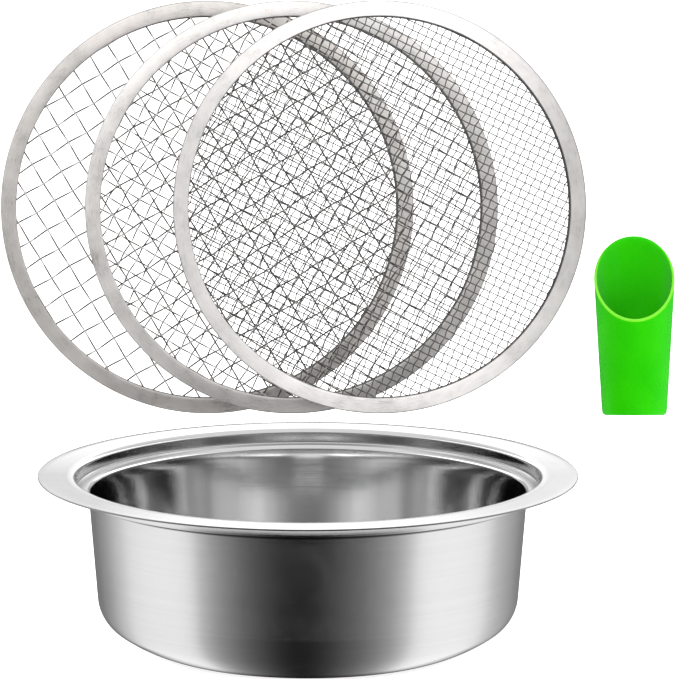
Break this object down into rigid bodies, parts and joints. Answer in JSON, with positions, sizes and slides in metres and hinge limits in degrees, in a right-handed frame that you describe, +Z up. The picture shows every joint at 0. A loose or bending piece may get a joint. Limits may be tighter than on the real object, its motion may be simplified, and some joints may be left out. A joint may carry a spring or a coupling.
{
  "type": "soil sieve",
  "caption": "Round drawn-steel soil sieve pan with a flat rim, interchangeable wire-mesh screens of different pitch and a slant-mouthed plastic scoop.",
  "frame": {"origin": "the pan's axis at the plane of the flat lip it stands on", "axes": "+Z up along the pan's axis, -Y towards the front; the loose screens and scoop stand in a row behind and above the rim at +Y"},
  "size_m": [0.3786, 0.3338, 0.3353],
  "materials": {
    "pan_steel": "satin drawn stainless",
    "rim_steel": "satin folded strip",
    "wire_steel": "bright drawn wire",
    "scoop_plastic": "semi-gloss moulded"
  },
  "bodies": {
    "pan": {"pan": "pan_steel"},
    "coarse_screen": {"coarse_rim": "rim_steel", "coarse_warp_wires": "wire_steel", "coarse_weft_wires": "wire_steel"},
    "medium_screen": {"medium_rim": "rim_steel", "medium_warp_wires": "wire_steel", "medium_weft_wires": "wire_steel"},
    "fine_screen": {"fine_rim": "rim_steel", "fine_warp_wires": "wire_steel", "fine_weft_wires": "wire_steel"},
    "scoop": {"scoop": "scoop_plastic"}
  },
  "joints": [
    {"name": "coarse_lift", "type": "slide", "parent": "pan", "child": "coarse_screen", "axis": [0, 0.1925, 0.9813], "range_m": [0, 0.06]},
    {"name": "medium_lift", "type": "slide", "parent": "pan", "child": "medium_screen", "axis": [0, 0.1925, 0.9813], "range_m": [0, 0.06]},
    {"name": "fine_lift", "type": "slide", "parent": "pan", "child": "fine_screen", "axis": [0, 0.1925, 0.9813], "range_m": [0, 0.06]},
    {"name": "scoop_lift", "type": "slide", "parent": "pan", "child": "scoop", "axis": [0, 0.1925, 0.9813], "range_m": [0, 0.06]}
  ]
}
